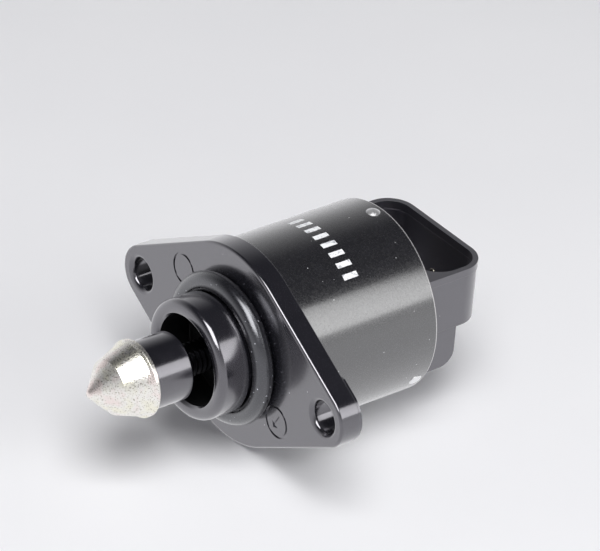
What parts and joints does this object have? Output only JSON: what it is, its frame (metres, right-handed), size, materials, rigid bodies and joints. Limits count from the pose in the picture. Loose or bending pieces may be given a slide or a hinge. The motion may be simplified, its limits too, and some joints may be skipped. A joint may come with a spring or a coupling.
{
  "type": "idle air control valve",
  "caption": "Flange-mounted idle air control valve: a stepper motor screws a conical plunger in and out of an air port; electrical socket at the rear.",
  "frame": {"origin": "on the valve's axis, in the plane of the flange's mounting face, midway between the two bolt holes", "axes": "+X from the cone towards the connector along the valve's axis, +Y along the line of the two bolts, +Z out of the connector's mouth"},
  "size_m": [0.077, 0.0632, 0.0372],
  "materials": {
    "zinc_steel": "zinc plated and passivated steel, fine grain, faint yellow tint",
    "plunger_nylon": "smooth moulded black nylon",
    "screw_steel": "rolled steel, black phosphated and greased",
    "body_plastic": "moulded black glass-filled polyester",
    "rubber": "black nitrile rubber with a little dust",
    "can_paint": "satin black baked enamel on drawn steel",
    "rivet_aluminium": "bright headed aluminium",
    "tin_brass": "tinned brass",
    "bearing_steel": "ground and polished bearing steel",
    "cage_brass": "pressed brass",
    "spring_steel": "bare spring steel",
    "hub_plastic": "natural moulded polyester",
    "ferrite": "sintered ferrite, dark grey",
    "bush_bronze": "sintered bronze",
    "pole_steel": "zinc plated pole steel",
    "enamelled_copper": "enamelled copper wire"
  },
  "bodies": {
    "housing": {"flange_body": "body_plastic", "o_ring": "rubber", "motor_can": "can_paint", "can_rivets": "rivet_aluminium", "end_cap": "body_plastic", "terminal_1": "tin_brass", "terminal_2": "tin_brass", "terminal_3": "tin_brass", "terminal_4": "tin_brass", "front_seal": "rubber", "rear_seal": "rubber", "bearing_outer_ring": "bearing_steel", "bearing_retainer": "spring_steel", "rear_bush": "bush_bronze", "preload_washer": "spring_steel", "stator_cup_front": "pole_steel", "stator_plate_front": "pole_steel", "stator_plate_rear": "pole_steel", "stator_cup_rear": "pole_steel", "bobbin_front": "hub_plastic", "bobbin_rear": "hub_plastic", "winding_front": "enamelled_copper", "winding_rear": "enamelled_copper", "coil_pins_front": "tin_brass", "coil_pins_rear": "tin_brass"},
    "rotor": {"rotor_hub": "hub_plastic", "rotor_magnet": "ferrite", "bearing_inner_ring": "bearing_steel"},
    "ball_cage": {"bearing_balls": "bearing_steel", "bearing_cage": "cage_brass"},
    "plunger": {"valve_cone": "zinc_steel", "plunger": "plunger_nylon", "lead_screw": "screw_steel"}
  },
  "joints": [
    {"name": "rotor_spin", "type": "hinge", "parent": "housing", "child": "rotor", "pos_m": [0, 0, 0], "axis": [1, 0, 0], "range_deg": [0, 1440]},
    {"name": "plunger_slide", "type": "slide", "parent": "housing", "child": "plunger", "axis": [1, 0, 0], "range_m": [0, 0.008]},
    {"name": "ball_cage_spin", "type": "hinge", "parent": "housing", "child": "ball_cage", "pos_m": [0, 0, 0], "axis": [1, 0, 0], "range_deg": [0, 583]}
  ],
  "couplings": [
    {"joint": "plunger_slide", "follows": "rotor_spin", "m_per_rad": 0.00031831},
    {"joint": "ball_cage_spin", "follows": "rotor_spin", "ratio": 0.40417}
  ]
}
